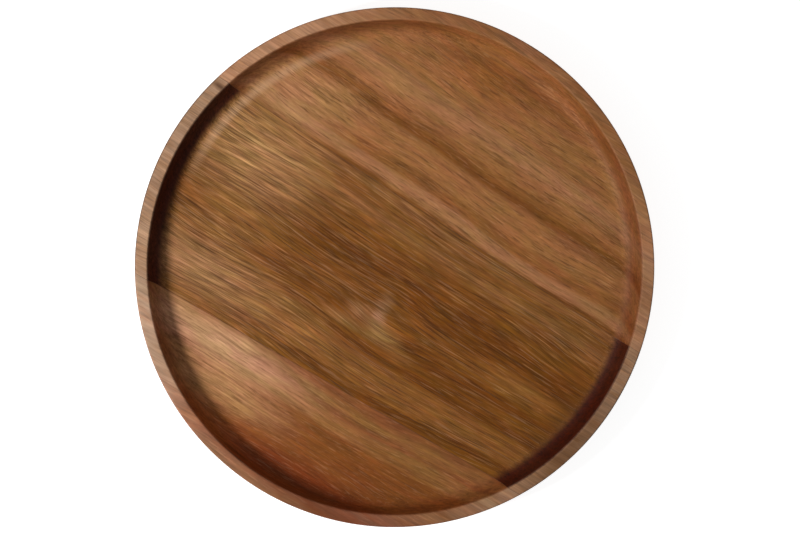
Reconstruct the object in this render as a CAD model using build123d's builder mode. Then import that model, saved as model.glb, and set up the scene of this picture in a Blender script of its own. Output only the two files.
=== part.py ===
"""Round wooden offering plate, turned from a blank of three boards glued edge to edge.

The boards lie with their grain close to X, and the two glue lines between them stand upright, a
little out of parallel with X and with each other. The plate is one turned shape about Z: a flat
base, a side that leans in towards the base, a narrow flat rim, a leaning wall, a cove and a flat
floor. The origin is the middle of the base, and +Z is up. Lengths are in millimetres.
"""

from math import radians, tan
import os

from build123d import *

# --- the turned shape ---
plate_diameter = 305.0
plate_height = 22.0
recess_depth = 13.5
rim_width = 7.3
wall_draft = 18.0  # lean of the recess wall from upright, in degrees
side_taper = 16.0  # lean of the outer side from upright, in degrees
cove_radius = 9.0  # round between the recess wall and the floor
foot_radius = 5.0  # round between the outer side and the base
outer_easing = 1.6  # how far the softened outer edge of the rim reaches from the sharp corner
inner_easing = 1.0  # the same at the inner edge

# --- the two glued joints ---
glue_thickness = 0.2
wide_joint_offset = 36.8  # distance of the joint from the origin, towards +Y
wide_joint_angle = -2.2  # turn of the joint from the X axis, in degrees
narrow_joint_offset = -78.9  # distance of the joint from the origin, towards -Y
narrow_joint_angle = 0.8

# --- sizes that follow from those ---
plate_radius = plate_diameter / 2
floor_height = plate_height - recess_depth
recess_radius = plate_radius - rim_width

# The eased outer edge is the widest part of the plate, and easing takes a little off the corner,
# so the sharp corner lies further out than the finished plate.
side_slope = tan(radians(side_taper))
rim_corner_radius = plate_radius + outer_easing * side_slope / (1 + side_slope)
base_corner_radius = rim_corner_radius - plate_height * side_slope
wall_slope = tan(radians(wall_draft))
floor_corner_radius = recess_radius - recess_depth * wall_slope

# Where the easing ends: down the side, down the wall and across the rim from each corner.
side_end = (rim_corner_radius - outer_easing * side_slope, plate_height - outer_easing)
wall_end = (recess_radius - inner_easing * wall_slope, plate_height - inner_easing)
outer_rim_end = (rim_corner_radius - outer_easing, plate_height)
inner_rim_end = (recess_radius + inner_easing, plate_height)


def joint_plane(offset, angle, shift):
    """Upright plane along a glued joint, moved by shift across it; its normal points to +Y."""
    across = Vector(0, 1, 0).rotate(Axis.Z, angle)
    return Plane(origin=(0, offset, 0), z_dir=across).offset(shift)


half_glue = glue_thickness / 2
wide_joint_top = joint_plane(wide_joint_offset, wide_joint_angle, half_glue)
wide_joint_bottom = joint_plane(wide_joint_offset, wide_joint_angle, -half_glue)
narrow_joint_top = joint_plane(narrow_joint_offset, narrow_joint_angle, half_glue)
narrow_joint_bottom = joint_plane(narrow_joint_offset, narrow_joint_angle, -half_glue)

os.makedirs("parts", exist_ok=True)

# The whole turned shape, before it is divided into its boards and glue lines.
with BuildPart() as turned_shape:
    with BuildSketch(Plane.XZ):
        with BuildLine():
            outside = FilletPolyline(
                (0, 0),
                (base_corner_radius, 0),
                side_end,
                radius=foot_radius,
            )
            Bezier(side_end, (rim_corner_radius, plate_height), outer_rim_end)
            Line(outer_rim_end, inner_rim_end)
            Bezier(inner_rim_end, (recess_radius, plate_height), wall_end)
            inside = FilletPolyline(
                wall_end,
                (floor_corner_radius, floor_height),
                (0, floor_height),
                radius=cove_radius,
            )
            Line(inside @ 1, outside @ 0)
        make_face()
    revolve(axis=Axis.Z)

# The wide board on the +Y side.
with BuildPart() as wide_side_board:
    add(turned_shape.part)
    split(bisect_by=wide_joint_top, keep=Keep.TOP)
wide_side_board.part.label = "wide_side_board"
export_step(wide_side_board.part, "parts/wide_side_board.step")

# The board across the middle.
with BuildPart() as middle_board:
    add(turned_shape.part)
    split(bisect_by=wide_joint_bottom, keep=Keep.BOTTOM)
    split(bisect_by=narrow_joint_top, keep=Keep.TOP)
middle_board.part.label = "middle_board"
export_step(middle_board.part, "parts/middle_board.step")

# The narrow board on the -Y side.
with BuildPart() as narrow_side_board:
    add(turned_shape.part)
    split(bisect_by=narrow_joint_bottom, keep=Keep.BOTTOM)
narrow_side_board.part.label = "narrow_side_board"
export_step(narrow_side_board.part, "parts/narrow_side_board.step")

# The cured glue between the middle board and the wide one.
with BuildPart() as wide_side_glue_line:
    add(turned_shape.part)
    split(bisect_by=wide_joint_top, keep=Keep.BOTTOM)
    split(bisect_by=wide_joint_bottom, keep=Keep.TOP)
wide_side_glue_line.part.label = "wide_side_glue_line"
export_step(wide_side_glue_line.part, "parts/wide_side_glue_line.step")

# The cured glue between the middle board and the narrow one.
with BuildPart() as narrow_side_glue_line:
    add(turned_shape.part)
    split(bisect_by=narrow_joint_top, keep=Keep.BOTTOM)
    split(bisect_by=narrow_joint_bottom, keep=Keep.TOP)
narrow_side_glue_line.part.label = "narrow_side_glue_line"
export_step(narrow_side_glue_line.part, "parts/narrow_side_glue_line.step")
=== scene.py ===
"""Looks of a round wooden offering plate: three boards, two glue lines, a pale floor and soft light.

The plate is one turned shape about Z, divided by two upright glued joints. Its boards are rebuilt
here as fine meshes over a plan grid, with the small unevenness of hand sanding, and each wears an
oiled wood finish whose grain runs along X. Lengths of meshes, lights and camera are in metres, and
places and sizes in the finishes are in millimetres.
"""

import logging
from dataclasses import dataclass, field
from enum import Enum
from math import cos, radians, sin, tan

import bmesh
import bpy
import numpy as np
from mathutils import Matrix, Vector

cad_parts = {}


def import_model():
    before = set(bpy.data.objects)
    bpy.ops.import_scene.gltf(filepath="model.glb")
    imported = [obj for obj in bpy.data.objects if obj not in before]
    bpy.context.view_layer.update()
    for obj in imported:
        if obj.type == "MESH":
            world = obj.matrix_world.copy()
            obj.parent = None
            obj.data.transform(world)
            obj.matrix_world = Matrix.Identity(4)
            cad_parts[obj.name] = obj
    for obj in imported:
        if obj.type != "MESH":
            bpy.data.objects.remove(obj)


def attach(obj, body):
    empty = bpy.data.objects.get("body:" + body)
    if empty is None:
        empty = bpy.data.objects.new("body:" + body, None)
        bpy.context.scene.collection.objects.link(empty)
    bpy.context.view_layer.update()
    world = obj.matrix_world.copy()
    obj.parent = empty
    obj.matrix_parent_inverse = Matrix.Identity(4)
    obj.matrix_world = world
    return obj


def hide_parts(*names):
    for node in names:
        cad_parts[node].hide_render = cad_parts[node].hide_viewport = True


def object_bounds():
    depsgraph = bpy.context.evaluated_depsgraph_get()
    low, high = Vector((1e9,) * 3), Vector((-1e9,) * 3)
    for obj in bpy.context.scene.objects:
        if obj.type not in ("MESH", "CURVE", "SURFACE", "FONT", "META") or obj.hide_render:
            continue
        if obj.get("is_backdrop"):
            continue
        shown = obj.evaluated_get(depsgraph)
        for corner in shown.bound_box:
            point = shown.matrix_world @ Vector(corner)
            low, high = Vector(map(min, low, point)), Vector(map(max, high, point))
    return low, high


MM = 0.001
FLOOR_TOP = 8.5  # height of the recess floor in millimetres, where the finishes measure from
OVAL_HEIGHT = 60.0  # radius of a patch along Z in millimetres, so that it reaches through a board
WHITE = (1.0, 1.0, 1.0, 1.0)
MERGE_DISTANCE = 0.0005 * MM
SHARP_ANGLE = radians(35)
BODY = "root"

Socket = bpy.types.NodeSocket
Scale = tuple[float, float, float]
Value = Socket | float | tuple

log = logging.getLogger("offering_plate")


# ---------------------------------------------------------------------------------------------
# Shape
# ---------------------------------------------------------------------------------------------


@dataclass(frozen=True)
class TurnedProfile:
    """Half section of the turned plate, as heights over the distance from the turning axis.

    Attributes:
        radius: Greatest radius of the plate.
        height: Height of the rim above the base.
        recess_depth: Depth of the floor under the rim.
        rim_width: Width of the rim, from the sharp corner of the recess to the plate's radius.
        wall_draft: Lean of the recess wall, from upright.
        side_taper: Lean of the outer side, from upright.
        cove_radius: Radius of the arc between wall and floor.
        foot_radius: Radius of the arc between side and base.
        outer_easing: How far the rim's outer corner is softened.
        inner_easing: How far its inner corner is softened.
        floor_step: Distance between points over the floor.
        ring_gap: Least distance between two rings of points.
        easing_steps: Number of points on a softened corner.
        cove_steps: Number of points on the cove.
    """

    radius: float
    height: float
    recess_depth: float = 13.5 * MM
    rim_width: float = 7.3 * MM
    wall_draft: float = radians(18)
    side_taper: float = radians(16)
    cove_radius: float = 9.0 * MM
    foot_radius: float = 5.0 * MM
    outer_easing: float = 1.6 * MM
    inner_easing: float = 1.0 * MM
    floor_step: float = 1.7 * MM
    ring_gap: float = 0.02 * MM
    easing_steps: int = 9
    cove_steps: int = 20

    @property
    def floor_height(self) -> float:
        """Height of the recess floor above the base."""
        return self.height - self.recess_depth

    @property
    def recess_radius(self) -> float:
        """Radius of the sharp corner between the rim and the recess wall."""
        return self.radius - self.rim_width

    @property
    def rim_corner(self) -> float:
        """Radius of the outer rim corner before it is eased back to the plate's radius."""
        slope = tan(self.side_taper)
        return self.radius + self.outer_easing * slope / (1 + slope)

    @property
    def floor_edge(self) -> float:
        """Radius at which the flat floor turns up into the cove."""
        corner = self.recess_radius - self.recess_depth * tan(self.wall_draft)
        return corner - self.cove_radius * tan((radians(90) - self.wall_draft) / 2)

    @staticmethod
    def _arc(centre: tuple[float, float], radius: float, end: float, steps: int) -> np.ndarray:
        """Points on an arc that leaves the lowest point of a circle and rises outwards.

        Args:
            centre: Distance and height of the circle's centre.
            radius: Radius of the circle.
            end: Angle of the last point, from the horizontal.
            steps: Number of points.

        Returns:
            An array of distances and heights: centre plus radius times cosine and sine.
        """
        angle = np.linspace(radians(-90), end, steps)
        return np.column_stack(
            (centre[0] + radius * np.cos(angle), centre[1] + radius * np.sin(angle))
        )

    @staticmethod
    def _easing(start: tuple, corner: tuple, end: tuple, steps: np.ndarray) -> np.ndarray:
        """Points of a softened corner.

        Args:
            start: Distance and height where the easing starts.
            corner: The sharp corner that it rounds.
            end: Where the easing ends.
            steps: Places along the curve, from 0 to 1.

        Returns:
            Points of the quadratic curve: squares of the two shares weight the ends, and twice
            their product weights the corner.
        """
        share = steps[:, None]
        return (
            (1 - share) ** 2 * np.array(start)
            + 2 * share * (1 - share) * np.array(corner)
            + share**2 * np.array(end)
        )

    def upper_line(self) -> np.ndarray:
        """The upper half of the section.

        Returns:
            Distances and heights of floor, cove, wall and rim, from the axis to the widest point.
        """
        floor = self.floor_height
        edge = self.floor_edge
        slope = tan(self.wall_draft)
        cove = self._arc((edge, floor + self.cove_radius), self.cove_radius, -self.wall_draft,
                         self.cove_steps)
        wall_end = (self.recess_radius - self.inner_easing * slope, self.height - self.inner_easing)
        inner = self._easing(
            wall_end,
            (self.recess_radius, self.height),
            (self.recess_radius + self.inner_easing, self.height),
            np.linspace(0, 1, self.easing_steps),
        )
        return np.vstack(([[0, floor]], cove, inner, self._outer_easing()[0]))

    def lower_line(self) -> np.ndarray:
        """The lower half of the section.

        Returns:
            Distances and heights of base, foot round and side, from the axis to the widest point.
        """
        slope = tan(self.side_taper)
        corner = self.rim_corner - self.height * slope
        start = corner - self.foot_radius * tan((radians(90) - self.side_taper) / 2)
        foot = self._arc((start, self.foot_radius), self.foot_radius, -self.side_taper,
                         self.easing_steps)
        return np.vstack(([[0, 0]], foot, self._outer_easing()[1][::-1]))

    def _outer_easing(self) -> tuple[np.ndarray, np.ndarray]:
        """The eased outer corner, divided at the plate's widest point.

        Returns:
            The stretch from the rim to the widest point, and the one from there to the side. The
            widest point divides the curve by the two easing lengths, across and down the side.
        """
        slope = tan(self.side_taper)
        widest = 1 / (1 + slope)
        ends = (
            (self.rim_corner - self.outer_easing, self.height),
            (self.rim_corner, self.height),
            (self.rim_corner - self.outer_easing * slope, self.height - self.outer_easing),
        )
        above = self._easing(*ends, np.linspace(0, widest, self.easing_steps))
        below = self._easing(*ends, np.linspace(widest, 1, self.easing_steps // 2))
        return above, below

    def upper_height(self, distance: np.ndarray) -> np.ndarray:
        """Height of the upper surface at the given distances from the axis."""
        line = self.upper_line()
        return np.interp(distance, line[:, 0], line[:, 1])

    def lower_height(self, distance: np.ndarray) -> np.ndarray:
        """Height of the lower surface at the given distances from the axis."""
        line = self.lower_line()
        return np.interp(distance, line[:, 0], line[:, 1])

    def rings(self, start: float) -> np.ndarray:
        """Distances at which a mesh has a ring of points.

        Args:
            start: The smallest distance wanted.

        Returns:
            Rising distances: even steps over the floor, and every corner of both lines.
        """
        steps = 2 + int((self.floor_edge - start) / self.floor_step)
        flat = np.linspace(start, self.floor_edge, steps)
        bends = np.concatenate((self.upper_line()[:, 0], self.lower_line()[:, 0]))
        bends = np.unique(np.round(bends[bends > self.floor_edge], 7))
        spaced = bends[np.diff(bends, prepend=0) > self.ring_gap]
        spaced[-1] = bends[-1]
        return np.concatenate((flat, spaced))


@dataclass(frozen=True)
class GluedJoint:
    """Upright glued joint across the plate, on the line y = offset + x tan(angle), with its film."""

    offset: float
    angle: float
    film: float = 0.2 * MM

    def distance(self, shift: float) -> float:
        """Distance from the axis to the joint's line, once the line is moved across by shift."""
        return self.offset * cos(self.angle) + shift


WIDE_JOINT = GluedJoint(offset=36.8 * MM, angle=radians(-2.2))
NARROW_JOINT = GluedJoint(offset=-78.9 * MM, angle=radians(0.8))


@dataclass(frozen=True)
class HandSanding:
    """The small unevenness that sanding by hand leaves on a turned plate.

    Attributes:
        floor_wave: Height of the waves on the floor.
        rim_share: The rim's lowering as a share of that height.
        rise_width: Distance from the floor's edge over which floor goes over into rim.
        thin: Thickness of the plate under which its waves fade out.
        edge_loss: Greatest width that is sanded off the rim.
        knot_place: Middle of the knot.
        knot_size: Its radius.
        knot_dip: Its depth.
    """

    floor_wave: float = 0.05 * MM
    rim_share: float = 0.3
    rise_width: float = 12 * MM
    thin: float = 2 * MM
    edge_loss: float = 0.14 * MM
    knot_place: tuple[float, float] = (6 * MM, -27 * MM)
    knot_size: float = 9 * MM
    knot_dip: float = 0.07 * MM

    def lift(self, x: np.ndarray, y: np.ndarray, rise: np.ndarray) -> np.ndarray:
        """Change in height of the upper surface.

        Args:
            x: Places along the grain.
            y: Places across the grain.
            rise: 0 on the floor and 1 on the rim.

        Returns:
            Three slow crossing waves, each the sine of a sum of shares of x and y, and a shallow
            bell-shaped dip over the knot: minus the exponent of minus the squared distance over
            the squared size. All fade out towards the rim, where only a slight lowering is left.
        """
        waves = (
            np.sin(71 * x + 23 * y + 0.6)
            + 0.7 * np.sin(-38 * x + 88 * y + 2.1)
            + 0.5 * np.sin(131 * x - 61 * y + 4.0)
        ) / 2.2
        away = ((x - self.knot_place[0]) ** 2 + (y - self.knot_place[1]) ** 2) / self.knot_size**2
        dip = self.knot_dip * np.exp(-away)
        lowering = self.rim_share * self.floor_wave * (1 + waves)
        return (1 - rise) * (self.floor_wave * waves - dip) - rise * lowering

    def inset(self, angle: np.ndarray, rise: np.ndarray) -> np.ndarray:
        """How far the rim is sanded back towards the axis.

        Args:
            angle: Directions from the axis.
            rise: 0 on the floor and 1 on the rim.

        Returns:
            A sum of three sine waves round the rim, at most 2 either way, brought between nothing
            and the full edge loss.
        """
        waves = np.sin(3 * angle + 0.4) + 0.6 * np.sin(8 * angle + 1.9) + 0.4 * np.sin(17 * angle)
        most = 2.0
        return rise * self.edge_loss * (waves + most) / (2 * most)


def grid_faces(index: np.ndarray) -> np.ndarray:
    """Four-cornered faces between neighbouring points of a grid of point numbers."""
    corners = (index[:-1, :-1], index[:-1, 1:], index[1:, 1:], index[1:, :-1])
    return np.stack(corners, axis=-1).reshape(-1, 4)


def strip_faces(above: np.ndarray, below: np.ndarray) -> np.ndarray:
    """Four-cornered faces between two matching rows of point numbers."""
    return np.stack((above[:-1], above[1:], below[1:], below[:-1]), axis=-1)


def finish_mesh(mesh: bpy.types.Mesh) -> None:
    """Merges double points, turns all faces outwards and shades all but sharp edges smooth.

    Args:
        mesh: The mesh to change, in its place.
    """
    shell = bmesh.new()
    shell.from_mesh(mesh)
    bmesh.ops.remove_doubles(shell, verts=shell.verts, dist=MERGE_DISTANCE)
    bmesh.ops.recalc_face_normals(shell, faces=shell.faces)
    shell.to_mesh(mesh)
    shell.free()
    mesh.shade_smooth()
    mesh.set_sharp_from_angle(angle=SHARP_ANGLE)


@dataclass
class Board:
    """One board or glue film of the plate, over a plan grid with shared edges above and below."""

    name: str
    profile: TurnedProfile
    sanding: HandSanding
    material: bpy.types.Material
    slot: str

    def plan(self) -> tuple[np.ndarray, np.ndarray]:
        """Grids of x and y over the piece's outline; each kind of piece has its own."""
        raise NotImplementedError

    def build(self) -> bpy.types.Object:
        """Makes the closed mesh and puts it in the scene.

        Returns:
            The new object. The upper and the lower grid take their heights from the profile, and
            strips of faces join their borders. On the plate's edge both heights are the same, so
            that strip closes up when double points are merged. The rise goes smoothly from 0 to 1
            past the floor's edge: three times the share squared less twice its cube.
        """
        x, y = self.plan()
        points = x.size
        edge = self.profile.floor_edge
        distance = np.hypot(x, y)
        rise = np.clip((distance - edge) / self.sanding.rise_width, 0, 1)
        rise = rise * rise * (3 - 2 * rise)
        keep = 1 - self.sanding.inset(np.arctan2(y, x), rise) / np.maximum(distance, edge)
        top = self.profile.upper_height(distance)
        low = self.profile.lower_height(distance)
        drop = np.clip((top - low) / self.sanding.thin, 0, 1)
        top = top + drop * self.sanding.lift(x, y, rise)
        upper = np.stack((x * keep, y * keep, top), axis=-1).reshape(-1, 3)
        lower = np.stack((x * keep, y * keep, low), axis=-1).reshape(-1, 3)
        index = np.arange(points).reshape(x.shape)
        faces = [grid_faces(index), grid_faces(index + points)[:, ::-1]]
        for border in (index[0], index[-1], index[:, 0], index[:, -1]):
            faces.append(strip_faces(border, border + points))
        mesh = bpy.data.meshes.new(self.name)
        mesh.from_pydata(np.vstack((upper, lower)), [], np.vstack(faces).tolist())
        finish_mesh(mesh)
        mesh.materials.append(self.material)
        piece = bpy.data.objects.new(self.name, mesh)
        bpy.context.scene.collection.objects.link(piece)
        return piece


@dataclass
class SideBoard(Board):
    """Board between one joint and the plate's edge, on a grid of arcs that end on the joint."""

    joint: GluedJoint = WIDE_JOINT
    outward: int = 1
    columns: int = 300

    def plan(self) -> tuple[np.ndarray, np.ndarray]:
        """Grid of arcs about the axis.

        Returns:
            x and y. An arc of radius r spans the angle whose cosine is the joint's distance over r,
            to each side of the joint's normal, so its ends lie on the joint.
        """
        near = self.outward * self.joint.distance(self.outward * self.joint.film / 2)
        middle = radians(90) * self.outward + self.joint.angle
        ring = self.profile.rings(near)[:, None]
        span = np.arccos(np.clip(near / ring, -1, 1))
        angle = middle + span * np.linspace(-1, 1, self.columns)[None, :]
        return ring * np.cos(angle), ring * np.sin(angle)


@dataclass
class Strip(Board):
    """Board or glue film between two lines across the plate."""

    low_line: tuple[float, float] = (0.0, 0.0)
    high_line: tuple[float, float] = (0.0, 0.0)
    rows: int = 90

    def plan(self) -> tuple[np.ndarray, np.ndarray]:
        """Grid of lines from the one side of the plate to the other.

        Returns:
            x and y. Each line lies at a distance from the axis and at an angle, both shared out
            evenly between the two border lines. Along it, points stand at even steps over the
            floor, and beyond it where the line crosses each ring: at plus and minus the square
            root of the ring's radius squared less the line's distance squared.
        """
        share = np.linspace(0, 1, self.rows)[:, None]
        away = self.low_line[0] + share * (self.high_line[0] - self.low_line[0])
        turn = self.low_line[1] + share * (self.high_line[1] - self.low_line[1])
        edge = self.profile.floor_edge
        steps = np.linspace(-1, 1, 1 + 2 * int(edge / self.profile.floor_step))[None, :]
        flat = steps * np.sqrt(edge**2 - away**2)
        rings = self.profile.rings(edge)[1:]
        rings = rings[rings > edge + self.profile.ring_gap / 2][None, :]
        beyond = np.sqrt(rings**2 - away**2)
        along = np.hstack((-beyond[:, ::-1], flat, beyond))
        x = along * np.cos(turn) - away * np.sin(turn)
        y = along * np.sin(turn) + away * np.cos(turn)
        return x, y


# ---------------------------------------------------------------------------------------------
# Finishes
# ---------------------------------------------------------------------------------------------


def colour(code: str) -> tuple[float, float, float, float]:
    """Linear colour from a six-digit sRGB code.

    Args:
        code: Red, green and blue, two hexadecimal digits each.

    Returns:
        Red, green and blue by the sRGB curve (a straight line near black, and a power of 2.4 above
        it), and a full alpha.
    """
    parts = np.array([int(code[i:i + 2], 16) / 255 for i in (0, 2, 4)])
    linear = np.where(parts <= 0.04045, parts / 12.92, ((parts + 0.055) / 1.055) ** 2.4)
    return (*linear.tolist(), 1.0)


class Wires:
    """Short ways to add nodes to one tree and to join them."""

    def __init__(self, tree: bpy.types.NodeTree) -> None:
        """Keeps the tree that the nodes go into."""
        self.tree = tree

    def node(self, kind: str, **settings: object) -> bpy.types.Node:
        """Adds a node.

        Args:
            kind: Blender's name for the kind of node.
            settings: Values of the node's own settings.

        Returns:
            The new node.
        """
        made = self.tree.nodes.new(kind)
        for name, value in settings.items():
            setattr(made, name, value)
        return made

    def feed(self, socket: Socket, value: Value) -> None:
        """Joins an output to an input, or sets the input to a plain value.

        Args:
            socket: The input.
            value: An output of another node, or a number, vector or colour.
        """
        if isinstance(value, bpy.types.NodeSocket):
            self.tree.links.new(value, socket)
        else:
            socket.default_value = value

    def made_by(self, kind: str, values: tuple[Value, ...], **settings: object) -> Socket:
        """Adds a node, feeds its inputs in their order and gives its first output.

        Args:
            kind: Blender's name for the kind of node.
            values: What its first inputs get.
            settings: Values of the node's own settings.

        Returns:
            The node's first output.
        """
        made = self.node(kind, **settings)
        for socket, value in zip(made.inputs, values):
            self.feed(socket, value)
        return made.outputs[0]

    def math(self, operation: str, *values: Value, clamp: bool = False) -> Socket:
        """Result of an operation on numbers, kept between 0 and 1 if clamp is set."""
        return self.made_by("ShaderNodeMath", values, operation=operation, use_clamp=clamp)

    def combine(self, x: Value, y: Value, z: Value) -> Socket:
        """Vector made of three numbers."""
        return self.made_by("ShaderNodeCombineXYZ", (x, y, z))

    def vector(self, operation: str, *values: Value) -> Socket:
        """Result of an operation on vectors.

        Args:
            operation: Blender's name for the operation.
            values: The vectors, or for a scaling the vector and a number.

        Returns:
            The vector, or for a length the number.
        """
        made = self.node("ShaderNodeVectorMath", operation=operation)
        self.feed(made.inputs[0], values[0])
        if len(values) > 1:
            self.feed(made.inputs["Scale" if operation == "SCALE" else 1], values[1])
        return made.outputs["Value" if operation == "LENGTH" else "Vector"]

    def split(self, vector: Value) -> tuple[Socket, ...]:
        """Takes a vector apart.

        Args:
            vector: The vector.

        Returns:
            Its three numbers.
        """
        made = self.node("ShaderNodeSeparateXYZ")
        self.feed(made.inputs[0], vector)
        return tuple(made.outputs)

    def fade(self, value: Value, start: Value, end: Value, low: Value = 0.0, high: Value = 1.0,
             smooth: bool = True) -> Socket:
        """Number that goes from one value to another as an input does, and stays there.

        Args:
            value: The input.
            start: The input at which the change starts.
            end: The input at which it ends.
            low: The result up to the start.
            high: The result from the end on.
            smooth: Whether the change eases in and out.

        Returns:
            The result's output.
        """
        steps = "SMOOTHSTEP" if smooth else "LINEAR"
        return self.made_by("ShaderNodeMapRange", (value, start, end, low, high), clamp=True,
                            interpolation_type=steps)

    def noise(self, vector: Value, detail: float = 2.0, roughness: float = 0.5) -> Socket:
        """Soft noise, about 0.2 to 0.8, with features about one unit of the vector across.

        Args:
            vector: Place in the noise.
            detail: Number of finer layers.
            roughness: Strength of each finer layer.

        Returns:
            The noise's value.
        """
        made = self.node("ShaderNodeTexNoise")
        self.feed(made.inputs["Vector"], vector)
        for name, value in (("Scale", 1.0), ("Detail", detail), ("Roughness", roughness)):
            made.inputs[name].default_value = value
        return made.outputs["Fac"]

    def sway(self, vector: Value, scale: Scale, amount: Value, detail: float = 2.0) -> Socket:
        """Noise about zero.

        Args:
            vector: Place, in millimetres.
            scale: Features per millimetre along each direction.
            amount: About how far the result goes each way.
            detail: Number of finer layers.

        Returns:
            The noise, spread from its usual 0.2 to 0.8 over minus one to one, times the amount.
        """
        band = self.noise(self.vector("MULTIPLY", vector, scale), detail)
        return self.math("MULTIPLY", self.math("MULTIPLY_ADD", band, 3.0, -1.5), amount)

    def layer(self, share: Value, under: Value, over: Value) -> Socket:
        """One colour laid over another.

        Args:
            share: How much of the upper colour shows, from 0 to 1.
            under: The lower colour.
            over: The upper colour.

        Returns:
            The mixed colour.
        """
        made = self.node("ShaderNodeMix", data_type="RGBA", blend_type="MIX")
        for place, value in ((0, share), (6, under), (7, over)):
            self.feed(made.inputs[place], value)
        return made.outputs[2]

    def ramp(self, value: Value, stops: list[tuple[float, str]]) -> Socket:
        """Colour that runs smoothly through several others.

        Args:
            value: Place along the stops, from 0 to 1.
            stops: Rising places from 0 to 1, each with a colour code.

        Returns:
            The colour.
        """
        made = self.node("ShaderNodeValToRGB")
        band = made.color_ramp
        band.interpolation = "EASE"
        while len(band.elements) < len(stops):
            band.elements.new(0.5)
        for element, (place, code) in zip(band.elements, stops):
            element.position = place
            element.color = colour(code)
        self.feed(made.inputs[0], value)
        return made.outputs[0]

    def group(self, tree: bpy.types.NodeTree, **values: Value) -> Socket:
        """Places a shared effect.

        Args:
            tree: The effect's node group.
            values: What its inputs get, each under the socket's name.

        Returns:
            The effect's output.
        """
        made = self.node("ShaderNodeGroup")
        made.node_tree = tree
        for name, value in values.items():
            self.feed(made.inputs[name], value)
        return made.outputs[0]


class Effect:
    """A shader node group: named inputs, one named output, and the wires in between."""

    def __init__(self, name: str, inputs: dict[str, float | Scale], output: str) -> None:
        """Makes the group and its sockets.

        Args:
            name: The group's name.
            inputs: Each input's name and its value when nothing feeds it.
            output: The output's name; it is a vector where the name is Flow.
        """
        self.tree = bpy.data.node_groups.new(name, "ShaderNodeTree")
        self.wires = Wires(self.tree)
        for label, value in inputs.items():
            kind = "NodeSocketVector" if isinstance(value, tuple) else "NodeSocketFloat"
            made = self.tree.interface.new_socket(label, in_out="INPUT", socket_type=kind)
            made.default_value = value
        kind = "NodeSocketVector" if output == "Flow" else "NodeSocketFloat"
        self.tree.interface.new_socket(output, in_out="OUTPUT", socket_type=kind)
        self.given = self.wires.node("NodeGroupInput").outputs
        self.result = self.wires.node("NodeGroupOutput").inputs[0]

    def end(self, socket: Socket) -> bpy.types.NodeTree:
        """Joins the last wire to the output and returns the group."""
        self.tree.links.new(socket, self.result)
        return self.tree


def grain_flow() -> bpy.types.NodeTree:
    """Group that bends the place on a board so that grain runs straight along X in the result.

    Returns:
        A group from a place in millimetres to a place in the grain: along it, across it and up.
        Grain turns from the one joint's angle to the other's, wanders slowly, ripples finely,
        spreads round the knot and leans with height. Round the knot, the distance across from it
        shrinks by a share that falls off as the exponent of minus the squared distance.
    """
    made = Effect(
        "grain_flow",
        {"Place": (0, 0, 0), "Wander": 5.0, "Ripple": 0.7, "Knot": 0.0, "Lean": 0.3},
        "Flow",
    )
    w, given = made.wires, made.given
    place = given["Place"]
    x, y, z = w.split(place)
    slope = w.fade(y, NARROW_JOINT.offset / MM, WIDE_JOINT.offset / MM,
                   tan(NARROW_JOINT.angle), tan(WIDE_JOINT.angle), smooth=False)
    across = w.math("SUBTRACT", y, w.math("MULTIPLY", x, slope))
    half = w.math("MULTIPLY", given["Ripple"], 0.3)
    for scale, amount in (
        ((0.007, 0.022, 0.03), given["Wander"]),
        ((0.03, 0.09, 0.09), given["Ripple"]),
        ((0.11, 0.35, 0.35), half),
    ):
        across = w.math("ADD", across, w.sway(place, scale, amount, 1.0))
    knot_x, knot_y = (item / MM for item in HandSanding.knot_place)
    spread_x, spread_y = 27.0, 19.0
    away_x = w.math("DIVIDE", w.math("SUBTRACT", x, knot_x + 5), spread_x)
    away_y = w.math("DIVIDE", w.math("SUBTRACT", y, knot_y + 3), spread_y)
    away = w.math("ADD", w.math("MULTIPLY", away_x, away_x), w.math("MULTIPLY", away_y, away_y))
    bell = w.math("EXPONENT", w.math("MULTIPLY", away, -1.0))
    below = w.fade(y, knot_y - 2, knot_y + 10, 1.0, 0.4)
    squeeze = w.math("MULTIPLY", w.math("MULTIPLY", bell, below), given["Knot"])
    from_knot = w.math("SUBTRACT", across, knot_y + 3)
    across = w.math("SUBTRACT", across, w.math("MULTIPLY", from_knot, squeeze))
    rise = w.math("SUBTRACT", z, FLOOR_TOP)
    across = w.math("ADD", across, w.math("MULTIPLY", rise, given["Lean"]))
    return made.end(w.combine(x, across, z))


def growth_tone() -> bpy.types.NodeTree:
    """Group that gives the light and dark of growth bands and fibres from the grain.

    Returns:
        A group from a place in the grain to a tone about zero: five kinds of noise, each longer
        along the grain than across it, added up in their own amounts.
    """
    made = Effect(
        "growth_tone",
        {"Flow": (0, 0, 0), "Broad": 0.1, "Narrow": 0.1, "Fine": 0.1, "Fibre": 0.1, "Cloud": 0.05},
        "Tone",
    )
    w, given = made.wires, made.given
    total = 0.0
    for label, scale, detail in (
        ("Broad", (0.006, 0.11, 0.11), 2.0),
        ("Narrow", (0.025, 0.36, 0.36), 2.0),
        ("Fine", (0.06, 0.95, 0.95), 2.0),
        ("Fibre", (0.07, 2.6, 2.6), 1.0),
        ("Cloud", (0.07, 0.14, 0.14), 3.0),
    ):
        total = w.math("ADD", w.sway(given["Flow"], scale, given[label], detail), total)
    return made.end(total)


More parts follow.
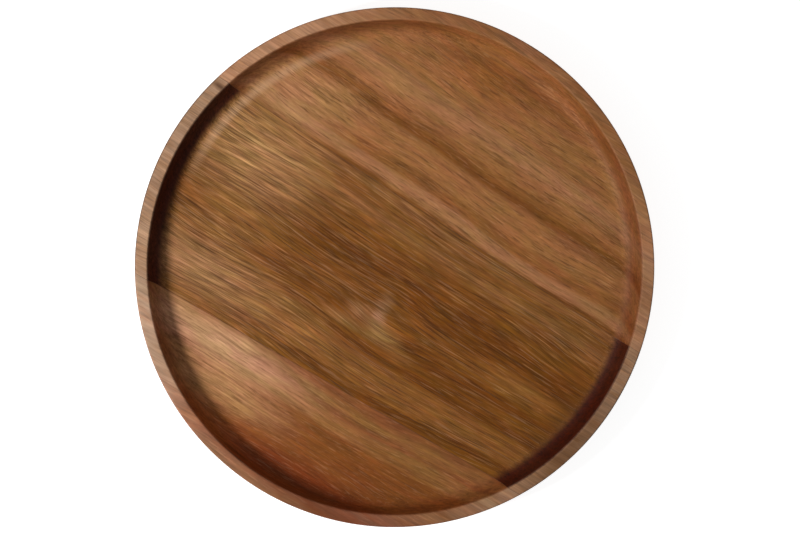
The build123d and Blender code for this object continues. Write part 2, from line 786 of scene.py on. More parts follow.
def streaks() -> bpy.types.NodeTree:
    """Group that marks streaks along the grain, which are dots where the grain is cut across.

    Returns:
        A group from a place in the grain to a mask: noise stretched to the streaks' length and
        width, where it passes a level. The level sways, so that streaks crowd in some bands, and
        rises along X by the bias, so that they thin out.
    """
    made = Effect(
        "streaks",
        {"Flow": (0, 0, 0), "Length": 11.0, "Width": 0.8, "Level": 0.58, "Crowd": 0.1, "Bias": 0.0,
         "Seed": 0.0},
        "Streaks",
    )
    w, given = made.wires, made.given
    flow, soft_edge = given["Flow"], 0.1
    spread = w.combine(given["Length"], given["Width"], given["Width"])
    place = w.vector("DIVIDE", flow, spread)
    shifted = w.vector("ADD", place, w.combine(given["Seed"], given["Seed"], given["Seed"]))
    crowd = w.math("ADD", w.sway(flow, (0.014, 0.07, 0.07), given["Crowd"], 2.0),
                   w.sway(flow, (0.012, 0.9, 0.9), given["Crowd"], 1.0))
    thinning = w.math("MULTIPLY", w.math("MULTIPLY", w.split(flow)[0], 0.01), given["Bias"])
    level = w.math("ADD", w.math("ADD", given["Level"], thinning), crowd)
    return made.end(w.fade(w.noise(shifted, 1.0), level, w.math("ADD", level, soft_edge)))


def end_grain() -> bpy.types.NodeTree:
    """Group that marks where the surface cuts across the grain.

    Returns:
        A group from a normal to a mask that grows with the size of the normal's share along X.
    """
    made = Effect("end_grain", {"Normal": (0, 0, 1), "Start": 0.04, "Full": 0.64}, "Cut")
    w, given = made.wires, made.given
    along = w.math("ABSOLUTE", w.split(given["Normal"])[0])
    return made.end(w.fade(along, given["Start"], given["Full"]))


def rim_wear_and_sheen() -> bpy.types.NodeTree:
    """Group that marks the paler top of the rim: partly wear from hands and sanding, partly painted
    sheen that is fullest towards -X, on the lamp's side.

    Returns:
        A group from a place in millimetres to a mask: height near the top, times an uneven cloud,
        times a share that is full before From, least between To and the far end, and high there.
    """
    made = Effect(
        "rim_wear_and_sheen",
        {"Place": (0, 0, 0), "Top": 22.0, "Depth": 1.6, "From": -110.0, "To": -30.0},
        "WearAndSheen",
    )
    w, given = made.wires, made.given
    least, far_start, far_end, far_wear = 0.25, 90.0, 145.0, 0.8
    x, _, z = w.split(given["Place"])
    high = w.fade(z, w.math("SUBTRACT", given["Top"], given["Depth"]), given["Top"])
    cloud = w.noise(w.vector("MULTIPLY", given["Place"], (0.06, 0.25, 0.1)), 3.0)
    uneven = w.fade(cloud, 0.3, 0.6, 0.6, 1.0)
    # Fullest towards -X, on the lamp's side, where the paleness is partly painted sheen.
    ends = w.math("MAXIMUM", w.fade(x, given["From"], given["To"], 1.0, least),
                  w.fade(x, far_start, far_end, least, far_wear))
    return made.end(w.math("MULTIPLY", w.math("MULTIPLY", high, uneven), ends))


def outer_side() -> bpy.types.NodeTree:
    """Group that marks the plate's outer side.

    Returns:
        A group from a place in millimetres to a mask: beyond a distance from the axis, and below a
        height that lies a little under the rim.
    """
    made = Effect("outer_side", {"Place": (0, 0, 0), "Inner": 146.0, "Outer": 149.0, "Top": 20.5},
                  "Outside")
    w, given = made.wires, made.given
    reach = w.vector("LENGTH", w.vector("MULTIPLY", given["Place"], (1, 1, 0)))
    start = w.math("SUBTRACT", given["Top"], 2.0)
    below = w.fade(w.split(given["Place"])[2], start, given["Top"], 1.0, 0.0)
    return made.end(w.math("MULTIPLY", w.fade(reach, given["Inner"], given["Outer"]), below))


def painted_floor_edge_highlight() -> bpy.types.NodeTree:
    """Group that marks a painted highlight: a pale line where the floor meets the cove.

    Returns:
        A group from a place in millimetres to a mask: a ring at a radius that fades out over a
        width, on the upper surface only, and on one quarter of the plate.
    """
    made = Effect("painted_floor_edge_highlight", {"Place": (0, 0, 0), "Radius": 132.5, "Width": 4.5}, "PaintedHighlight")
    w, given = made.wires, made.given
    x, y, z = w.split(given["Place"])
    reach = w.vector("LENGTH", w.vector("MULTIPLY", given["Place"], (1, 1, 0)))
    off = w.math("ABSOLUTE", w.math("SUBTRACT", reach, given["Radius"]))
    above = w.fade(z, FLOOR_TOP - 3.5, FLOOR_TOP - 1.5)
    ring = w.math("MULTIPLY", w.fade(off, 0.0, given["Width"], 1.0, 0.0), above)
    # Painted highlight: the pale line is laid on one quarter of the plate only.
    quarter = w.math("MULTIPLY", w.fade(x, -115.0, -65.0, 1.0, 0.0), w.fade(y, -25.0, 20.0))
    return made.end(w.math("MULTIPLY", ring, quarter))


def patch() -> bpy.types.NodeTree:
    """Group that marks a soft-edged oval.

    Returns:
        A group from a place to a mask: full at the oval's middle and nothing past its radii.
    """
    made = Effect("patch", {"Place": (0, 0, 0), "Middle": (0, 0, 0), "Radii": (1, 1, 1)}, "Patch")
    w, given = made.wires, made.given
    away = w.vector("DIVIDE", w.vector("SUBTRACT", given["Place"], given["Middle"]), given["Radii"])
    return made.end(w.fade(w.vector("LENGTH", away), 0.0, 1.0, 1.0, 0.0))


def joint_line() -> bpy.types.NodeTree:
    """Group that marks the wood right beside either glued joint, where glue and oil darken it.

    Returns:
        A group from a place in millimetres to a mask that fades with the distance along Y to the
        nearer joint's line.
    """
    made = Effect("joint_line", {"Place": (0, 0, 0), "Reach": 0.8}, "Beside")
    w, given = made.wires, made.given
    x, y, _ = w.split(given["Place"])
    gaps = []
    for joint in (WIDE_JOINT, NARROW_JOINT):
        line = w.math("MULTIPLY_ADD", x, tan(joint.angle), joint.offset / MM)
        gaps.append(w.math("ABSOLUTE", w.math("SUBTRACT", y, line)))
    return made.end(w.fade(w.math("MINIMUM", *gaps), 0.0, given["Reach"], 1.0, 0.0))


@dataclass(frozen=True)
class Oval:
    """A soft patch of another colour in a board, with its middle and radii along X and Y. Most are wood
    colour; a few are painted sheen or painted light.
    """

    middle: tuple[float, float]
    radii: tuple[float, float]
    code: str
    share: float


@dataclass(frozen=True)
class Tones:
    """How far growth bands, fibres and clouds lighten or darken a board, as shares of its colour."""

    broad: float
    narrow: float
    fine: float
    fibre: float
    cloud: float


@dataclass(frozen=True)
class Streaks:
    """Streaks along the grain of a board: how strong, how frequent, and how they thin out along X."""

    share: float
    level: float
    length: float = 11.0
    width: float = 0.8
    crowd: float = 0.06
    bias: float = 0.0


class Brown(Enum):
    """The browns of the growth bands, each used wherever its shade recurs."""

    BARK = "683b0c"
    HONEY = "744616"
    AMBER = "7b4e22"
    SAND = "845830"
    COCOA = "784a20"
    CHESTNUT = "89572f"
    FAWN = "95643c"
    ROSE_TAN = "9b6c48"
    RUSSET = "6d300f"
    SADDLE = "77441c"
    CLAY = "7a4a28"


@dataclass(frozen=True)
class WoodFinish:
    """Oiled wood of one board.

    Attributes:
        name: The material's name.
        across: The browns of the growth bands, by their places across the grain.
        tones: Strength of the bands, fibres and clouds.
        pore_code: Colour of the pores and of the wood beside a joint.
        pores: The dark streaks.
        glints: The light streaks.
        end_code: Colour of the end grain.
        end_share: How much of it shows.
        rim_code: Colour of the paler rim top, partly wear and partly painted sheen.
        rim_share: How much of it shows.
        wander: How far the grain wanders to either side.
        ripple: How far it ripples.
        lean: How far it moves across for each millimetre of height.
        knot: How strongly it spreads round the knot.
        colour_and_sheen_patches: Ovals that lie in the wood, under its streaks; the large pale ones
            towards -X are partly painted sheen.
        marks: Ovals over all else, where the surface doesn't cut across the grain.
        wear_and_sheen_span: Where along X the rim's wear and painted sheen start to fall off, and where
            they have done so.
        streak_and_highlight_code: Colour of the light streaks and of the painted edge highlight.
        edge_highlight_share: How much of the painted highlight along the floor's edge shows.
        pink: One end of the slow drift in colour, which multiplies the browns.
        olive: Its other end.
        roughness: Roughness of the oiled surface.
        gloss: Specular level.
    """

    name: str
    across: tuple[tuple[float, Brown], ...]
    tones: Tones
    pore_code: str
    pores: Streaks
    glints: Streaks
    end_code: str
    end_share: float
    rim_code: str
    rim_share: float
    wander: float = 6.0
    ripple: float = 0.35
    lean: float = 0.3
    knot: float = 0.0
    colour_and_sheen_patches: tuple[Oval, ...] = ()
    marks: tuple[Oval, ...] = ()
    wear_and_sheen_span: tuple[float, float] = (-110.0, -30.0)
    streak_and_highlight_code: str = "cfa784"
    edge_highlight_share: float = 0.34
    pink: str = "c2b9b8"
    olive: str = "babdac"
    roughness: float = 0.5
    gloss: float = 0.12


@dataclass(frozen=True)
class Mix:
    """How the effects act on every board; a name with _by_ is what its effect adds for each unit.

    Attributes:
        shift_by_tone: Millimetres that a tone moves the browns across the grain.
        brightness: What the browns are multiplied by, to make up for the drift's colours.
        patch_by_tone: Change of a patch's share.
        patch_by_outside: Change of a patch's share on the outer side.
        streaks_by_cut: Change of streaks on end grain.
        short_streaks: Strength of the short streaks beside the long ones.
        glint_gain: How far a glint brightens the wood.
        glint_cover: How far it covers the wood with its own colour.
        beside: Share of the pores' colour right beside a joint.
        end_by_tone: Brightening of end grain.
        end_by_outside: Change of the end grain's share on the outer side.
        rim_by_tone: Brightening of the paler rim top, which is partly wear and partly painted sheen.
        rim_by_cut: Change of its share on end grain.
        rough_by_pores: Change of roughness.
        rough_by_cut: Change of roughness.
        rough_by_tone: Change of roughness.
        relief_by_tone: Height of the relief, where a pore is 1 deep.
        relief: Strength of the relief.
        relief_depth: Depth of a pore, in metres.
    """

    shift_by_tone: float = 3.0
    brightness: float = 1.95
    patch_by_tone: float = 0.9
    patch_by_outside: float = -0.75
    streaks_by_cut: float = -0.75
    short_streaks: float = 0.7
    glint_gain: float = 0.6
    glint_cover: float = 0.4
    beside: float = 0.15
    end_by_tone: float = 1.4
    end_by_outside: float = -0.3
    rim_by_tone: float = 0.8
    rim_by_cut: float = -0.6
    rough_by_pores: float = 0.15
    rough_by_cut: float = 0.1
    rough_by_tone: float = -0.2
    relief_by_tone: float = 1.2
    relief: float = 0.6
    relief_depth: float = 0.1 * MM


@dataclass
class Surface:
    """What the layers of one board's material read: its wires, places, tone and masks."""

    w: Wires
    place: Socket
    flow: Socket
    tone: Socket
    cut: Socket
    outside: Socket
    pores: Socket
    glints: Socket


@dataclass
class WoodShop:
    """Makes the materials of the plate, with one set of shared effects."""

    mix: Mix = Mix()
    flow: bpy.types.NodeTree = field(default_factory=grain_flow)
    tone: bpy.types.NodeTree = field(default_factory=growth_tone)
    streaks: bpy.types.NodeTree = field(default_factory=streaks)
    cut: bpy.types.NodeTree = field(default_factory=end_grain)
    # Paler rim top: partly wear, partly painted sheen.
    rim_wear_sheen: bpy.types.NodeTree = field(default_factory=rim_wear_and_sheen)
    outside: bpy.types.NodeTree = field(default_factory=outer_side)
    # Painted highlight: a pale line along the floor's edge.
    ring: bpy.types.NodeTree = field(default_factory=painted_floor_edge_highlight)
    patch: bpy.types.NodeTree = field(default_factory=patch)
    beside: bpy.types.NodeTree = field(default_factory=joint_line)

    @staticmethod
    def _start(name: str) -> tuple[bpy.types.Material, Wires, bpy.types.Node, Socket]:
        """Makes a material.

        Args:
            name: Its name.

        Returns:
            The material, its wires, its shader and the place on the piece in millimetres.
        """
        made = bpy.data.materials.new(name)
        made.use_nodes = True
        w = Wires(made.node_tree)
        place = w.vector("SCALE", w.node("ShaderNodeTexCoord").outputs["Object"], 1 / MM)
        return made, w, made.node_tree.nodes["Principled BSDF"], place

    def _streak_mask(self, w: Wires, flow: Socket, calm: Socket, kind: Streaks, seed: float) -> Socket:
        """Marks the streaks of one kind.

        Args:
            w: The material's wires.
            flow: Place in the grain.
            calm: What the mask is multiplied by.
            kind: The streaks' size and number.
            seed: Shifts the pattern.

        Returns:
            The greater of the long streaks and the weaker, shorter ones.
        """
        masks = []
        for length, width, moved in ((1.0, 1.0, 0.0), (0.5, 0.55, 31.7)):
            masks.append(w.group(
                self.streaks, Flow=flow, Length=kind.length * length, Width=kind.width * width,
                Level=kind.level, Crowd=kind.crowd, Bias=kind.bias, Seed=seed + moved))
        short = w.math("MULTIPLY", masks[1], self.mix.short_streaks)
        return w.math("MULTIPLY", w.math("MAXIMUM", masks[0], short), calm)

    def _surface(self, finish: WoodFinish, w: Wires, place: Socket) -> Surface:
        """Works out what the layers of a board's material read.

        Args:
            finish: The board's colours and amounts.
            w: The material's wires.
            place: Place on the piece in millimetres.

        Returns:
            The place in the grain, the tone there, and the masks of end grain, outer side and
            streaks.
        """
        flow = w.group(self.flow, Place=place, Wander=finish.wander, Ripple=finish.ripple,
                       Knot=finish.knot, Lean=finish.lean)
        tones = finish.tones
        tone = w.group(self.tone, Flow=flow, Broad=tones.broad, Narrow=tones.narrow,
                       Fine=tones.fine, Fibre=tones.fibre, Cloud=tones.cloud)
        cut = w.group(self.cut, Normal=w.node("ShaderNodeNewGeometry").outputs["Normal"])
        calm = w.math("MULTIPLY_ADD", cut, self.mix.streaks_by_cut, 1.0)
        return Surface(
            w=w, place=place, flow=flow, tone=tone, cut=cut,
            outside=w.group(self.outside, Place=place),
            pores=self._streak_mask(w, flow, calm, finish.pores, 0.0),
            glints=self._streak_mask(w, flow, calm, finish.glints, 57.3),
        )

    def _bands(self, on: Surface, finish: WoodFinish) -> Socket:
        """Colours the growth bands: the finish's browns across the grain, moved by the tone.

        Args:
            on: The material's places and masks.
            finish: The board's colours and amounts.

        Returns:
            The colour.
        """
        w = on.w
        first, last = finish.across[0][0], finish.across[-1][0]
        across = w.math("MULTIPLY_ADD", on.tone, self.mix.shift_by_tone, w.split(on.flow)[1])
        stops = [((spot - first) / (last - first), brown.value) for spot, brown in finish.across]
        return w.ramp(w.fade(across, first, last, smooth=False), stops)

    @staticmethod
    def _loosened(on: Surface) -> Socket:
        """Sways the place on the board and in its grain, so that ovals get uneven edges.

        Args:
            on: The material's places and masks.

        Returns:
            The swayed place.
        """
        w = on.w
        broad = w.sway(on.place, (0.04, 0.1, 0.1), 5.0)
        fine = w.sway(on.flow, (0.03, 0.12, 0.12), 2.5)
        return w.vector("ADD", on.place, w.combine(broad, fine, 0))

    def _ovals(self, on: Surface, ovals: tuple[Oval, ...], base: Socket, place: Socket,
               amount: Socket) -> Socket:
        """Lays ovals over a colour, one after another.

        Args:
            on: The material's places and masks.
            ovals: The ovals.
            base: The colour under them.
            place: Place that the ovals are laid out in.
            amount: What each oval's own share is multiplied by.

        Returns:
            The colour with the ovals.
        """
        w = on.w
        for oval in ovals:
            mark = w.group(self.patch, Place=place, Middle=(*oval.middle, FLOOR_TOP),
                           Radii=(*oval.radii, OVAL_HEIGHT))
            share = w.math("MULTIPLY", w.math("MULTIPLY", mark, amount), oval.share, clamp=True)
            base = w.layer(share, base, colour(oval.code))
        return base

    def _drifted(self, on: Surface, finish: WoodFinish, base: Socket) -> Socket:
        """Multiplies a colour by a slow drift between two others, and shades it by the tone.

        Args:
            on: The material's places and masks.
            finish: The board's colours and amounts.
            base: The colour.

        Returns:
            The colour, with the painted highlight along the floor's edge laid over it.
        """
        w, bright = on.w, self.mix.brightness
        drift = w.noise(w.vector("MULTIPLY", on.flow, (0.045, 0.16, 0.16)), 3.0, 0.6)
        tint = w.layer(w.fade(drift, 0.32, 0.68), colour(finish.pink), colour(finish.olive))
        shade = w.math("MULTIPLY_ADD", on.tone, bright, bright)
        base = w.vector("SCALE", w.vector("MULTIPLY", base, tint), shade)
        # Painted highlight along the floor's edge, in the colour of the light streaks.
        ring = w.math("MULTIPLY", w.group(self.ring, Place=on.place), finish.edge_highlight_share)
        return w.layer(ring, base, colour(finish.streak_and_highlight_code))

    def _streaked(self, on: Surface, finish: WoodFinish, base: Socket) -> Socket:
        """Lays glints, pores and the lines beside the joints over a colour.

        Args:
            on: The material's places and masks.
            finish: The board's colours and amounts.
            base: The colour.

        Returns:
            The streaked colour.
        """
        w, mix = on.w, self.mix
        gain = w.math("MULTIPLY_ADD", on.glints, finish.glints.share * mix.glint_gain, 1.0)
        cover = w.math("MULTIPLY", on.glints, finish.glints.share * mix.glint_cover)
        base = w.layer(cover, w.vector("SCALE", base, gain), colour(finish.streak_and_highlight_code))
        base = w.layer(w.math("MULTIPLY", on.pores, finish.pores.share), base, colour(finish.pore_code))
        beside = w.math("MULTIPLY", w.group(self.beside, Place=on.place), mix.beside)
        return w.layer(beside, base, colour(finish.pore_code))

    def _ended(self, on: Surface, finish: WoodFinish, base: Socket) -> Socket:
        """Lays end grain and the paler rim top (partly wear, partly painted sheen) over a colour, each
        shaded by the tone.

        Args:
            on: The material's places and masks.
            finish: The board's colours and amounts.
            base: The colour.

        Returns:
            The colour with both.
        """
        w, mix = on.w, self.mix
        end_tone = w.math("MULTIPLY_ADD", on.tone, mix.end_by_tone, 1.0)
        end = w.vector("SCALE", colour(finish.end_code)[:3], end_tone)
        ends = w.math("MULTIPLY", on.cut, w.math("MULTIPLY_ADD", on.outside, mix.end_by_outside, 1.0))
        base = w.layer(w.math("MULTIPLY", ends, finish.end_share), base, end)
        # Paler rim top: partly wear, partly painted sheen towards -X.
        rim_tone = w.math("MULTIPLY_ADD", on.tone, mix.rim_by_tone, 1.0)
        rim = w.vector("SCALE", colour(finish.rim_code)[:3], rim_tone)
        rim_wear_sheen = w.group(self.rim_wear_sheen, Place=on.place, From=finish.wear_and_sheen_span[0], To=finish.wear_and_sheen_span[1])
        rim_wear_sheen = w.math("MULTIPLY", rim_wear_sheen, w.math("MULTIPLY_ADD", on.cut, mix.rim_by_cut, 1.0))
        return w.layer(w.math("MULTIPLY", rim_wear_sheen, finish.rim_share), base, rim)

    def wood(self, finish: WoodFinish) -> bpy.types.Material:
        """Makes the material of one board.

        Args:
            finish: The board's colours and amounts.

        Returns:
            A material with browns across the grain and patches in them, a few of which are painted
            sheen and one painted light, a drift from pink to olive, a painted highlight along the
            floor's edge, glints and pores, dark end grain, a paler rim top that is partly wear and
            partly painted sheen, and marks. It is rougher in pores and on end grain, and its relief is
            the tone less the pores.
        """
        mix = self.mix
        made, w, shader, place = self._start(finish.name)
        on = self._surface(finish, w, place)
        loose = self._loosened(on)
        inner = w.math("MULTIPLY_ADD", on.outside, mix.patch_by_outside,
                       w.math("MULTIPLY_ADD", on.tone, mix.patch_by_tone, 1.0))
        base = self._ovals(on, finish.colour_and_sheen_patches, self._bands(on, finish), loose, inner)
        base = self._ended(on, finish, self._streaked(on, finish, self._drifted(on, finish, base)))
        base = self._ovals(on, finish.marks, base, loose, w.math("SUBTRACT", 1.0, on.cut))
        w.feed(shader.inputs["Base Color"], base)
        rough = w.math("MULTIPLY_ADD", on.cut, mix.rough_by_cut, finish.roughness)
        rough = w.math("MULTIPLY_ADD", on.pores, mix.rough_by_pores, rough)
        w.feed(shader.inputs["Roughness"],
               w.math("MULTIPLY_ADD", on.tone, mix.rough_by_tone, rough, clamp=True))
        bump = w.node("ShaderNodeBump")
        bump.inputs["Strength"].default_value = mix.relief
        bump.inputs["Distance"].default_value = mix.relief_depth
        w.feed(bump.inputs["Height"],
               w.math("SUBTRACT", w.math("MULTIPLY", on.tone, mix.relief_by_tone), on.pores))
        w.feed(shader.inputs["Normal"], bump.outputs[0])
        shader.inputs["Specular IOR Level"].default_value = finish.gloss
        return made

    def glue(self) -> bpy.types.Material:
        """Makes the material of the glue films.

        Returns:
            A dark, slightly shiny film, mottled by noise that is stretched along X.
        """
        made, w, shader, place = self._start("cured_glue")
        mottle = w.noise(w.vector("MULTIPLY", place, (0.08, 1.0, 1.0)), 3.0)
        w.feed(shader.inputs["Base Color"], w.layer(mottle, colour("2a150b"), colour("6b4226")))
        w.feed(shader.inputs["Roughness"], w.fade(mottle, 0.3, 0.7, 0.4, 0.55))
        shader.inputs["Specular IOR Level"].default_value = 0.3
        return made


RED_BROWN = WoodFinish(
    name="oiled_red_brown_wood",
    across=(
        (30, Brown.COCOA), (39, Brown.COCOA), (44, Brown.ROSE_TAN), (47, Brown.ROSE_TAN),
        (50, Brown.CHESTNUT), (54, Brown.CHESTNUT), (59, Brown.FAWN), (70, Brown.FAWN),
        (73, Brown.COCOA), (75, Brown.COCOA), (78, Brown.CHESTNUT), (84, Brown.FAWN),
        (91, Brown.ROSE_TAN), (96, Brown.ROSE_TAN), (101, Brown.FAWN), (118, Brown.FAWN),
        (132, Brown.CHESTNUT),
    ),
    tones=Tones(broad=0.05, narrow=0.26, fine=0.28, fibre=0.13, cloud=0.14),
    pore_code="3d1c06",
    pores=Streaks(share=0.4, level=0.6),
    glints=Streaks(share=0.25, level=0.6),
    end_code="4e1a04",
    end_share=0.6,
    rim_code="b5886a",
    rim_share=0.7,
    lean=0.5,
    wear_and_sheen_span=(-122, -58),
    colour_and_sheen_patches=(
        Oval((-8, 122), (46, 20), "8d5120", 0.5),
        Oval((90, 66), (60, 6), "75442a", 0.45),
        # Pale towards -X, on the lamp's side: partly wood colour, partly painted sheen.
        Oval((-104, 54), (56, 30), "b48862", 0.5),
        Oval((-70, 92), (50, 12), "a8764f", 0.4),
        Oval((0, 153), (70, 12), "7a4526", 0.6),
        Oval((-84, 72), (40, 9), "a87a52", 0.4),
    ),
    marks=(Oval((128, 56), (18, 26), "6a3c1e", 0.25),),
)

GOLDEN_BROWN = WoodFinish(
    name="oiled_golden_brown_wood",
    across=(
        (-78, Brown.HONEY), (-75, Brown.BARK), (-72, Brown.BARK), (-68, Brown.AMBER),
        (-54, Brown.AMBER), (-49, Brown.BARK), (-42, Brown.HONEY), (-34, Brown.BARK),
        (-26, Brown.HONEY), (-20, Brown.HONEY), (-13, Brown.BARK), (-6, Brown.BARK),
        (2, Brown.HONEY), (8, Brown.HONEY), (14, Brown.AMBER), (20, Brown.SAND),
        (25, Brown.AMBER), (31, Brown.AMBER), (34, Brown.SAND), (40, Brown.AMBER),
    ),
    tones=Tones(broad=0.05, narrow=0.34, fine=0.38, fibre=0.15, cloud=0.16),
    pore_code="371c08",
    pores=Streaks(share=0.54, level=0.58, length=26.0, width=0.58, bias=0.016),
    glints=Streaks(share=0.34, level=0.585, length=22.0, width=0.6, bias=0.016),
    end_code="300501",
    end_share=0.93,
    rim_code="ab8a70",
    rim_share=0.7,
    ripple=0.28,
    lean=-0.3,
    knot=0.55,
    colour_and_sheen_patches=(
        # This and the next: pale towards -X, on the lamp's side; partly wood colour, partly painted
        # sheen.
        Oval((-104, 14), (66, 46), "a67c52", 0.75),
        Oval((-100, -58), (74, 28), "9c7250", 0.7),
        Oval((-60, -50), (60, 9), "94683c", 0.45),
        Oval((62, -44), (48, 13), "5f3406", 0.6),
        Oval((74, -8), (58, 6), "613707", 0.5),
        # Pale towards -X, on the lamp's side: partly wood colour, partly painted sheen.
        Oval((-100, -30), (52, 22), "94663a", 0.5),
        Oval((100, -24), (42, 11), "8c6030", 0.6),
        Oval((64, -76), (62, 6), "5a3306", 0.4),
        Oval((-70, -76), (50, 6), "8a5c34", 0.35),
        Oval((-30, -62), (36, 16), "9a6a3c", 0.35),
        Oval((30, -36), (17, 8), "5c3106", 0.6),
        Oval((-12, -27), (14, 6), "62350c", 0.5),
        Oval((6, -21), (9, 10), "90694f", 0.5),
        Oval((9, -30), (8, 10), "987258", 0.55),
        Oval((-4, -33), (16, 7), "99704c", 0.6),
        Oval((14, -38), (19, 9), "9a7648", 0.75),
        Oval((28, -44), (15, 5), "8a6236", 0.4),
        Oval((-10, -42), (22, 6), "8f6a40", 0.5),
    ),
    marks=(
        Oval((142, -44), (24, 62), "5c3a1c", 0.8),
        Oval((-143, 38), (8, 4.5), "472a1a", 0.8),
    ),
)

PALE_STREAKED = WoodFinish(
    name="oiled_pale_streaked_wood",
    across=(
        (-153, Brown.CLAY), (-145, Brown.RUSSET), (-136, Brown.RUSSET), (-124, Brown.SADDLE),
        (-104, Brown.SADDLE), (-99, Brown.SAND), (-93, Brown.SAND), (-90, Brown.CLAY),
        (-86, Brown.SAND), (-80, Brown.CLAY),
    ),
    tones=Tones(broad=0.05, narrow=0.3, fine=0.24, fibre=0.11, cloud=0.14),
    pore_code="4a2308",
    pores=Streaks(share=0.32, level=0.6),
    glints=Streaks(share=0.22, level=0.6),
    end_code="5a2408",
    end_share=0.5,
    rim_code="ab927b",
    rim_share=0.66,
    lean=-0.5,
    colour_and_sheen_patches=(
        # This and the next: pale towards -X, on the lamp's side; partly wood colour, partly painted
        # sheen.
        Oval((-72, -92), (98, 20), "cda083", 0.54),
        Oval((-52, -112), (66, 20), "b58862", 0.6),
        Oval((45, -116), (46, 13), "6c3610", 0.5),
        Oval((30, -132), (70, 12), "682c0e", 0.6),
        Oval((58, -99), (42, 5), "6a3812", 0.4),
        # Painted light: lightens the wall and cove here, which face away from the lamp and lie in
        # shade.
        Oval((-62, -134), (66, 15), "995428", 0.55),
    ),
    marks=(Oval((48, -147), (72, 14), "5e2c10", 0.78),),
)


# ---------------------------------------------------------------------------------------------
# Plate, floor, lights and camera
# ---------------------------------------------------------------------------------------------


@dataclass
class OfferingPlate:
    """The whole plate: three boards and two glue films, in place of the five CAD nodes."""

    profile: TurnedProfile
    shop: WoodShop
    sanding: HandSanding = field(default_factory=HandSanding)

    def pieces(self) -> list[tuple[Board, str]]:
        """Sets up the boards and the glue films.

        Returns:
            The pieces in the order they are made, each with the CAD node that it stands for.
        """
        shared = {"profile": self.profile, "sanding": self.sanding}
        half = WIDE_JOINT.film / 2
        glue = self.shop.glue()
        wide = SideBoard("wide_board", material=self.shop.wood(RED_BROWN), slot="red_brown_wood",
                         joint=WIDE_JOINT, outward=1, **shared)
        narrow = SideBoard("narrow_board", material=self.shop.wood(PALE_STREAKED),
                           slot="pale_streaked_wood", joint=NARROW_JOINT, outward=-1, **shared)
        middle = Strip("centre_board", material=self.shop.wood(GOLDEN_BROWN),
                       slot="golden_brown_wood",
                       low_line=(NARROW_JOINT.distance(half), NARROW_JOINT.angle),
                       high_line=(WIDE_JOINT.distance(-half), WIDE_JOINT.angle), **shared)
        found = [(wide, "wide_side_board"), (middle, "middle_board"), (narrow, "narrow_side_board")]
        for name, joint in (
            ("wide_side_glue_line", WIDE_JOINT),
            ("narrow_side_glue_line", NARROW_JOINT),
        ):
            film = Strip(name.replace("_line", "_film"), material=glue, slot="cured_wood_glue", rows=3,
                         low_line=(joint.distance(-half), joint.angle),
                         high_line=(joint.distance(half), joint.angle), **shared)
            found.append((film, name))
        return found

    def build(self) -> None:
        """Makes every piece, puts it on the body and hides the CAD node that it stands for."""
        for board, node in self.pieces():
            piece = board.build()
            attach(piece, BODY)
            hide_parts(node)
            log.info("%s: %d faces, for %s", piece.name, len(piece.data.polygons), node)


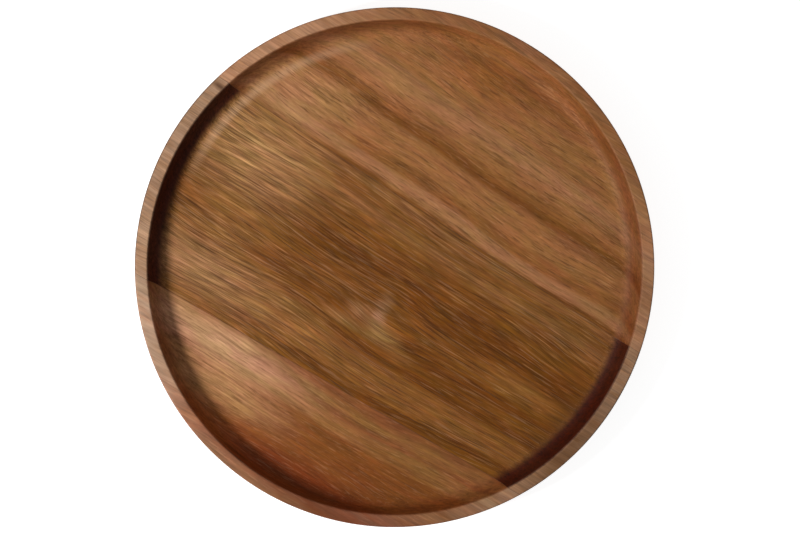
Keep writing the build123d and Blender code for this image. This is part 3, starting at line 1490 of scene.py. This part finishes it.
@dataclass(frozen=True)
class Studio:
    """Pale floor, soft lights and a camera that looks almost straight down on the plate.

    Attributes:
        rim_height: Height of the plate's rim.
        turn: Angle in plan from X to the view's right.
        lean_left: Angle by which the camera stands to the left of straight above.
        lean_up: Angle by which it stands towards the view's top.
        distance: How far it is from what it looks at.
        plate_share: The plate's width as a share of the view's.
        plate_diameter: The plate's width.
        aside: What the camera looks at, to the right and up from the middle of the rim.
        sensor: Width of the camera's sensor, in millimetres.
        near: Nearest distance that the camera shows.
        floor_reach: Radius of the floor.
        floor_drop: How far the floor lies under the plate's base.
        floor_grid: Numbers of rings and spokes of points in the floor's mesh.
        floor_glow: Strength of the floor's own light.
        key_distance: How far the light is from the plate's middle.
        key_height: Its angle above the floor.
        key_side: Its direction in plan, from the view's right towards the view's top.
        key_size: Its diameter.
        key_power: Its power in watts.
        sky_top: Strength of the sky above.
        sky_side: Strength of the sky near the horizon.
    """

    rim_height: float
    turn: float = radians(31)
    lean_left: float = radians(2.9)
    lean_up: float = radians(1.6)
    distance: float = 1.1
    plate_share: float = 0.651
    plate_diameter: float = 0.305
    aside: tuple[float, float] = (2.05 * MM, -2.8 * MM)
    sensor: float = 36.0
    near: float = 0.01
    floor_reach: float = 6.0
    floor_drop: float = 0.1 * MM
    floor_grid: tuple[int, int] = (24, 97)
    floor_glow: float = 0.84
    key_distance: float = 0.9
    key_height: float = radians(40)
    key_side: float = radians(197)
    key_size: float = 0.2
    key_power: float = 8.3
    sky_top: float = 0.26
    sky_side: float = 0.5

    def ways(self) -> tuple[Vector, Vector]:
        """The directions in plan that stand right and up in the camera's view."""
        along, aside = cos(self.turn), sin(self.turn)
        return Vector((along, aside, 0)), Vector((-aside, along, 0))

    def camera(self) -> None:
        """Adds the camera, rolled so that the grain runs down to the right, and makes it current."""
        right, up = self.ways()
        aim = Vector((0, 0, self.rim_height)) + right * self.aside[0] + up * self.aside[1]
        back = (Vector((0, 0, 1)) - right * tan(self.lean_left) + up * tan(self.lean_up)).normalized()
        across = up.cross(back).normalized()
        lens = bpy.data.cameras.new("camera")
        lens.sensor_width = self.sensor
        lens.lens = self.plate_share / self.plate_diameter * self.distance * self.sensor
        lens.clip_start = self.near
        made = bpy.data.objects.new("camera", lens)
        turn = Matrix((across, back.cross(across), back)).transposed().to_4x4()
        made.matrix_world = Matrix.Translation(aim + back * self.distance) @ turn
        bpy.context.scene.collection.objects.link(made)
        bpy.context.scene.camera = made

    def floor(self) -> None:
        """Adds the floor: a flat polar grid whose rings' radii grow with the square of their number."""
        ring = np.linspace(0, 1, self.floor_grid[0])[:, None] ** 2 * self.floor_reach
        angle = np.linspace(0, radians(360), self.floor_grid[1])[None, :]
        height = np.full(self.floor_grid, -self.floor_drop)
        points = np.stack((ring * np.cos(angle), ring * np.sin(angle), height), axis=-1)
        faces = grid_faces(np.arange(height.size).reshape(height.shape))
        mesh = bpy.data.meshes.new("floor")
        mesh.from_pydata(points.reshape(-1, 3), [], faces.tolist())
        finish_mesh(mesh)
        mesh.materials.append(self.floor_material())
        made = bpy.data.objects.new("floor", mesh)
        bpy.context.scene.collection.objects.link(made)
        made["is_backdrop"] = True

    def floor_material(self) -> bpy.types.Material:
        """Makes the floor's finish.

        Returns:
            A matt, very slightly cloudy white that is lit from within, so that it stays pale.
        """
        made = bpy.data.materials.new("pale_floor")
        made.use_nodes = True
        w = Wires(made.node_tree)
        shader = made.node_tree.nodes["Principled BSDF"]
        cloud = w.noise(w.vector("SCALE", w.node("ShaderNodeTexCoord").outputs["Object"], 3.0))
        w.feed(shader.inputs["Base Color"], w.layer(cloud, colour("b8b8b7"), colour("bcbcbc")))
        shader.inputs["Roughness"].default_value = 0.9
        shader.inputs["Specular IOR Level"].default_value = 0.1
        shader.inputs["Emission Color"].default_value = WHITE
        shader.inputs["Emission Strength"].default_value = self.floor_glow
        return made

    def sky(self) -> None:
        """Adds the world: it lights the plate less from above than from the sides, and looks white."""
        world = bpy.data.worlds.new("soft_sky")
        bpy.context.scene.world = world
        world.use_nodes = True
        w = Wires(world.node_tree)
        height = w.split(w.node("ShaderNodeTexCoord").outputs["Generated"])[2]
        light = world.node_tree.nodes["Background"]
        light.inputs["Color"].default_value = WHITE
        w.feed(light.inputs["Strength"], w.fade(height, 0.3, 0.95, self.sky_side, self.sky_top))
        seen = w.node("ShaderNodeBackground")
        seen.inputs["Color"].default_value = WHITE
        direct = w.node("ShaderNodeLightPath").outputs["Is Camera Ray"]
        shown = w.made_by("ShaderNodeMixShader", (direct, light.outputs[0], seen.outputs[0]))
        w.feed(world.node_tree.nodes["World Output"].inputs["Surface"], shown)

    def key(self) -> None:
        """Adds one soft round light, low on the left of the camera's view."""
        right, up = self.ways()
        level = right * cos(self.key_side) + up * sin(self.key_side)
        way = level * cos(self.key_height) + Vector((0, 0, sin(self.key_height)))
        lamp = bpy.data.lights.new("key", "AREA")
        lamp.shape = "DISK"
        lamp.size = self.key_size
        lamp.energy = self.key_power
        made = bpy.data.objects.new("key", lamp)
        turn = way.to_track_quat("Z", "Y").to_matrix().to_4x4()
        made.matrix_world = Matrix.Translation(way * self.key_distance) @ turn
        bpy.context.scene.collection.objects.link(made)

    def build(self) -> None:
        """Sets up everything that isn't part of the plate."""
        self.floor()
        self.sky()
        self.key()
        self.camera()
        bpy.context.scene.view_settings.view_transform = "Standard"


def main() -> None:
    """Loads the frame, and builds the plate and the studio."""
    logging.basicConfig(level=logging.INFO, format="%(name)s: %(message)s")
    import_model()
    cad_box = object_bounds()
    low, high = cad_box
    profile = TurnedProfile(radius=(high[0] - low[0]) / 2, height=high[2] - low[2])
    OfferingPlate(profile, WoodShop()).build()
    Studio(rim_height=profile.height).build()


if __name__ == "__main__":
    main()
